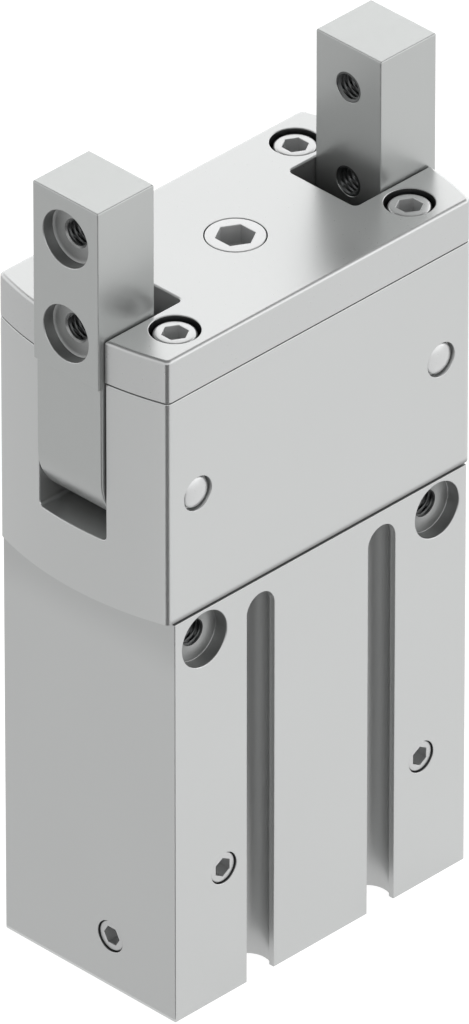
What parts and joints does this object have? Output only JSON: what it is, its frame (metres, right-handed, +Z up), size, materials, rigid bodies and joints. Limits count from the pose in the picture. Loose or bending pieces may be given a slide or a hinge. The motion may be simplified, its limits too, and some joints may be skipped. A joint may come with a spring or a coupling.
{
  "type": "radial pneumatic gripper",
  "caption": "Radial pneumatic gripper: block cylinder body with sensor slots, bowed-end housing, and a jaw at each end that pivots outwards from upright to flat.",
  "frame": {"origin": "centre of the body's flat base face", "axes": "+Z up along the piston towards the jaws, +X across the jaws from left to right, +Y from the sensor slot side to the back"},
  "size_m": [0.069, 0.0352, 0.1365],
  "materials": {
    "satin_aluminium": "blasted and clear anodised, satin",
    "bright_plate": "fine blasted and clear anodised, a little brighter than the body",
    "jaw_steel": "ground steel, satin",
    "bright_steel": "bright zinc or ground steel",
    "plug_steel": "nickel plated",
    "dark_steel": "oiled dark steel",
    "bronze": "plain sintered bronze",
    "rubber": "black moulded rubber",
    "magnet": "dark bonded magnet ring"
  },
  "bodies": {
    "gripper_body": {"cylinder_body": "satin_aluminium", "bottom_cover": "satin_aluminium", "bottom_cover_o_ring": "rubber", "bottom_retaining_ring": "dark_steel", "channel_ball_left": "bright_steel", "channel_ball_right": "bright_steel", "port_plug_front_left": "plug_steel", "port_plug_front_right": "plug_steel", "port_plug_end_left": "plug_steel", "port_plug_end_right": "plug_steel", "rod_seal": "rubber", "guide_bush": "bronze", "mechanism_housing": "satin_aluminium", "top_plate": "bright_plate", "centre_plug": "bright_steel", "pivot_pin_left": "bright_steel", "pivot_pin_right": "bright_steel", "plate_screw_1": "bright_steel", "plate_screw_2": "bright_steel", "plate_screw_3": "bright_steel", "plate_screw_4": "bright_steel", "housing_screw_1": "dark_steel", "housing_screw_2": "dark_steel", "housing_screw_3": "dark_steel", "housing_screw_4": "dark_steel"},
    "piston": {"piston": "satin_aluminium", "piston_seal_lower": "rubber", "piston_seal_upper": "rubber", "piston_magnet": "magnet", "piston_buffer_lower": "rubber", "piston_buffer_upper": "rubber", "piston_rod": "bright_steel", "crosshead": "dark_steel", "crosshead_screw": "dark_steel"},
    "left_jaw": {"jaw_left": "jaw_steel", "pivot_bush_left": "bronze", "drive_pin_left": "bright_steel", "drive_roller_left": "dark_steel"},
    "right_jaw": {"jaw_right": "jaw_steel", "pivot_bush_right": "bronze", "drive_pin_right": "bright_steel", "drive_roller_right": "dark_steel"}
  },
  "joints": [
    {"name": "piston_slide", "type": "slide", "parent": "gripper_body", "child": "piston", "axis": [0, 0, 1], "range_m": [0, 0.01556]},
    {"name": "left_jaw_swing", "type": "hinge", "parent": "gripper_body", "child": "left_jaw", "pos_m": [-0.025, 0, 0.0896], "axis": [0, -1, 0], "range_deg": [0, 90]},
    {"name": "right_jaw_swing", "type": "hinge", "parent": "gripper_body", "child": "right_jaw", "pos_m": [0.025, 0, 0.0896], "axis": [0, 1, 0], "range_deg": [0, 90]}
  ],
  "couplings": [
    {"joint": "left_jaw_swing", "follows": "piston_slide", "rad_per_m": 100.97},
    {"joint": "right_jaw_swing", "follows": "piston_slide", "rad_per_m": 100.97}
  ]
}
